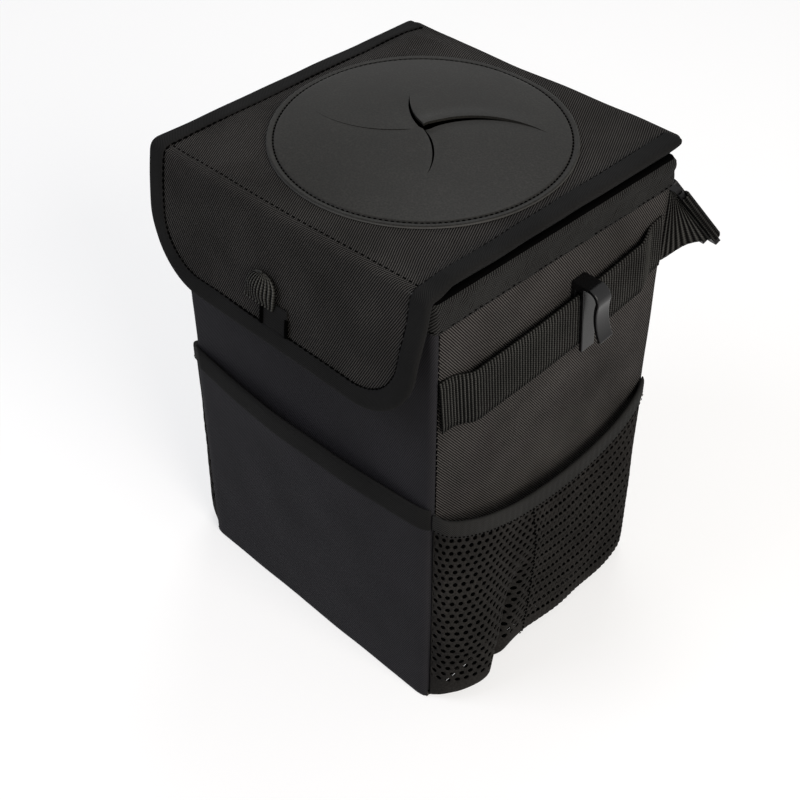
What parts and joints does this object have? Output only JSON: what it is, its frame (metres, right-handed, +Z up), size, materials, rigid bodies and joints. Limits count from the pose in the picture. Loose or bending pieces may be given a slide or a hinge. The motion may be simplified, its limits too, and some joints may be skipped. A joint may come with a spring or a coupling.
{
  "type": "car trash bin",
  "caption": "Upright cloth car trash bin with hinged lid, front flap, push-through slit mouth, net side pockets, bag clips on side straps and a rear hanging belt.",
  "frame": {"origin": "centre of the base on the floor, under the middle of the box", "axes": "+Z up, -Y to the front with the flap, +X to the right side as seen from behind the front"},
  "size_m": [0.195, 0.2129, 0.2542],
  "materials": {
    "outer_cloth": "black twill oxford cloth",
    "stiffener_board": "polyethylene board",
    "liner_film": "satin waterproof film",
    "binding_tape": "black woven edge tape",
    "net": "black knitted net",
    "webbing": "black ribbed webbing",
    "mouth_leather": "fine-grained black synthetic leather",
    "clip_plastic": "glossy black moulding",
    "buckle_plastic": "satin black moulding",
    "fastener_pile": "black hook-and-loop tape"
  },
  "bodies": {
    "bin": {"front_panel": "outer_cloth", "rear_panel": "outer_cloth", "left_panel": "outer_cloth", "right_panel": "outer_cloth", "base_panel": "outer_cloth", "front_pocket": "outer_cloth", "front_board": "stiffener_board", "rear_board": "stiffener_board", "left_board": "stiffener_board", "right_board": "stiffener_board", "base_board": "stiffener_board", "liner": "liner_film", "rim_tape": "binding_tape", "front_pocket_tape": "binding_tape", "net_tape_left": "binding_tape", "net_tape_right": "binding_tape", "net_pocket_left": "net", "net_pocket_right": "net", "side_strap_left": "webbing", "side_strap_right": "webbing", "belt_lug_left": "webbing", "belt_lug_right": "webbing", "hang_strap": "webbing", "buckle_socket": "buckle_plastic", "buckle_plug": "buckle_plastic", "strap_adjuster": "buckle_plastic", "loop_patch": "fastener_pile"},
    "lid": {"lid_panel": "outer_cloth", "lid_board": "stiffener_board", "lid_lining": "liner_film", "lid_tape_left": "binding_tape", "lid_tape_right": "binding_tape", "mouth_sheet": "mouth_leather"},
    "flap": {"flap_panel": "outer_cloth", "flap_lining": "liner_film", "flap_tape": "binding_tape", "hook_patch": "fastener_pile", "pull_tab": "webbing"},
    "petal_rear": {"petal_rear": "mouth_leather"},
    "petal_left": {"petal_left": "mouth_leather"},
    "petal_front": {"petal_front": "mouth_leather"},
    "petal_right": {"petal_right": "mouth_leather"},
    "clip_left": {"bag_clip_left": "clip_plastic"},
    "clip_right": {"bag_clip_right": "clip_plastic"}
  },
  "joints": [
    {"name": "lid_hinge", "type": "hinge", "parent": "bin", "child": "lid", "pos_m": [0, 0.0772, 0.2424], "axis": [-1, 0, 0], "range_deg": [0, 180]},
    {"name": "flap_hinge", "type": "hinge", "parent": "lid", "child": "flap", "pos_m": [0, -0.08, 0.247], "axis": [-1, 0, 0], "range_deg": [0, 175]},
    {"name": "petal_rear_flex", "type": "hinge", "parent": "lid", "child": "petal_rear", "pos_m": [0.0028, 0.04002, 0.24874], "axis": [0.9976, -0.0698, 0], "range_deg": [0, 75], "stiffness_Nm_per_rad": 0.02, "springref_deg": -5.73},
    {"name": "petal_left_flex", "type": "hinge", "parent": "lid", "child": "petal_left", "pos_m": [-0.04105, 0.011, 0.24874], "axis": [0.2588, 0.9659, 0], "range_deg": [0, 75], "stiffness_Nm_per_rad": 0.02, "springref_deg": -5.73},
    {"name": "petal_front_flex", "type": "hinge", "parent": "lid", "child": "petal_front", "pos_m": [-0.01035, -0.03284, 0.24874], "axis": [-0.9537, 0.3007, 0], "range_deg": [0, 75], "stiffness_Nm_per_rad": 0.02, "springref_deg": -5.73},
    {"name": "petal_right_flex", "type": "hinge", "parent": "lid", "child": "petal_right", "pos_m": [0.0335, -0.00382, 0.24874], "axis": [-0.1132, -0.9936, 0], "range_deg": [0, 75], "stiffness_Nm_per_rad": 0.02, "springref_deg": -5.73},
    {"name": "clip_left_slide", "type": "slide", "parent": "bin", "child": "clip_left", "axis": [0, 0.9962, 0.0872], "range_m": [-0.062, 0.034]},
    {"name": "clip_right_slide", "type": "slide", "parent": "bin", "child": "clip_right", "axis": [0, 0.9962, 0.0872], "range_m": [-0.062, 0.034]}
  ]
}
